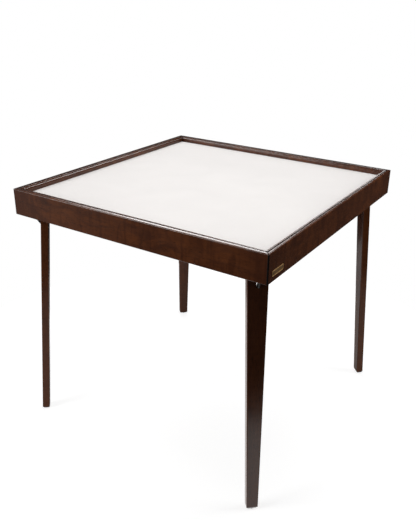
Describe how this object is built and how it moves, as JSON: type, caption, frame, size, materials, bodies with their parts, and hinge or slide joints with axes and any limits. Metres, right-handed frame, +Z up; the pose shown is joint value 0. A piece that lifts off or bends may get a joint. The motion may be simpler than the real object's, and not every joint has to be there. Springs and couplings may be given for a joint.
{
  "type": "folding puzzle table",
  "caption": "Square wooden puzzle table with a felt-lined tray, raised rim and tapered legs that fold under the top on steel braces.",
  "frame": {"origin": "on the floor, under the middle of the table", "axes": "+Z up, +X towards the right rail with the name plate, -Y towards the front rail"},
  "size_m": [0.816, 0.816, 0.751],
  "materials": {
    "dark_wood": "semi-gloss stained",
    "felt": "short felt",
    "panel_board": "plain board",
    "block_wood": "plain sawn",
    "bracket_steel": "zinc plated",
    "brace_steel": "bright",
    "screw_steel": "zinc plated",
    "plate_brass": "aged, satin",
    "glide_plastic": "smooth"
  },
  "bodies": {
    "table_top": {"rail_front": "dark_wood", "rail_right": "dark_wood", "rail_back": "dark_wood", "rail_left": "dark_wood", "inner_strip_front": "dark_wood", "inner_strip_right": "dark_wood", "inner_strip_back": "dark_wood", "inner_strip_left": "dark_wood", "panel": "panel_board", "felt_surface": "felt", "name_plate": "plate_brass", "name_plate_pins": "plate_brass", "corner_block_front_right": "block_wood", "hinge_bracket_front_right": "bracket_steel", "bracket_screws_front_right": "screw_steel", "brace_rivet_front_right": "screw_steel", "corner_block_back_right": "block_wood", "hinge_bracket_back_right": "bracket_steel", "bracket_screws_back_right": "screw_steel", "brace_rivet_back_right": "screw_steel", "corner_block_back_left": "block_wood", "hinge_bracket_back_left": "bracket_steel", "bracket_screws_back_left": "screw_steel", "brace_rivet_back_left": "screw_steel", "corner_block_front_left": "block_wood", "hinge_bracket_front_left": "bracket_steel", "bracket_screws_front_left": "screw_steel", "brace_rivet_front_left": "screw_steel"},
    "leg_front_right_body": {"leg_front_right": "dark_wood", "pivot_screws_front_right": "screw_steel", "foot_glide_front_right": "glide_plastic"},
    "brace_front_right_body": {"brace_front_right": "brace_steel", "slot_pin_front_right": "screw_steel"},
    "leg_back_right_body": {"leg_back_right": "dark_wood", "pivot_screws_back_right": "screw_steel", "foot_glide_back_right": "glide_plastic"},
    "brace_back_right_body": {"brace_back_right": "brace_steel", "slot_pin_back_right": "screw_steel"},
    "leg_back_left_body": {"leg_back_left": "dark_wood", "pivot_screws_back_left": "screw_steel", "foot_glide_back_left": "glide_plastic"},
    "brace_back_left_body": {"brace_back_left": "brace_steel", "slot_pin_back_left": "screw_steel"},
    "leg_front_left_body": {"leg_front_left": "dark_wood", "pivot_screws_front_left": "screw_steel", "foot_glide_front_left": "glide_plastic"},
    "brace_front_left_body": {"brace_front_left": "brace_steel", "slot_pin_front_left": "screw_steel"}
  },
  "joints": [
    {"name": "leg_front_right_hinge", "type": "hinge", "parent": "table_top", "child": "leg_front_right_body", "pos_m": [0.3481, -0.3481, 0.6878], "axis": [0.7354, 0.6777, 0], "range_deg": [0, 96.66]},
    {"name": "brace_front_right_hinge", "type": "hinge", "parent": "table_top", "child": "brace_front_right_body", "pos_m": [0.37541, -0.37773, 0.68224], "axis": [0.7354, 0.6777, 0], "range_deg": [0, 60.84]},
    {"name": "leg_back_right_hinge", "type": "hinge", "parent": "table_top", "child": "leg_back_right_body", "pos_m": [0.3481, 0.3481, 0.6878], "axis": [-0.6777, 0.7354, 0], "range_deg": [0, 93.5]},
    {"name": "brace_back_right_hinge", "type": "hinge", "parent": "table_top", "child": "brace_back_right_body", "pos_m": [0.37773, 0.37541, 0.68224], "axis": [-0.6777, 0.7354, 0], "range_deg": [0, 59.74]},
    {"name": "leg_back_left_hinge", "type": "hinge", "parent": "table_top", "child": "leg_back_left_body", "pos_m": [-0.3481, 0.3481, 0.6878], "axis": [-0.7354, -0.6777, 0], "range_deg": [0, 96.66]},
    {"name": "brace_back_left_hinge", "type": "hinge", "parent": "table_top", "child": "brace_back_left_body", "pos_m": [-0.37541, 0.37773, 0.68224], "axis": [-0.7354, -0.6777, 0], "range_deg": [0, 60.84]},
    {"name": "leg_front_left_hinge", "type": "hinge", "parent": "table_top", "child": "leg_front_left_body", "pos_m": [-0.3481, -0.3481, 0.6878], "axis": [0.6777, -0.7354, 0], "range_deg": [0, 93.5]},
    {"name": "brace_front_left_hinge", "type": "hinge", "parent": "table_top", "child": "brace_front_left_body", "pos_m": [-0.37773, -0.37541, 0.68224], "axis": [0.6777, -0.7354, 0], "range_deg": [0, 59.74]}
  ],
  "couplings": [
    {"joint": "brace_front_right_hinge", "follows": "leg_front_right_hinge", "ratio": 0.62892},
    {"joint": "brace_back_right_hinge", "follows": "leg_back_right_hinge", "ratio": 0.63846},
    {"joint": "brace_back_left_hinge", "follows": "leg_back_left_hinge", "ratio": 0.62892},
    {"joint": "brace_front_left_hinge", "follows": "leg_front_left_hinge", "ratio": 0.63846}
  ]
}
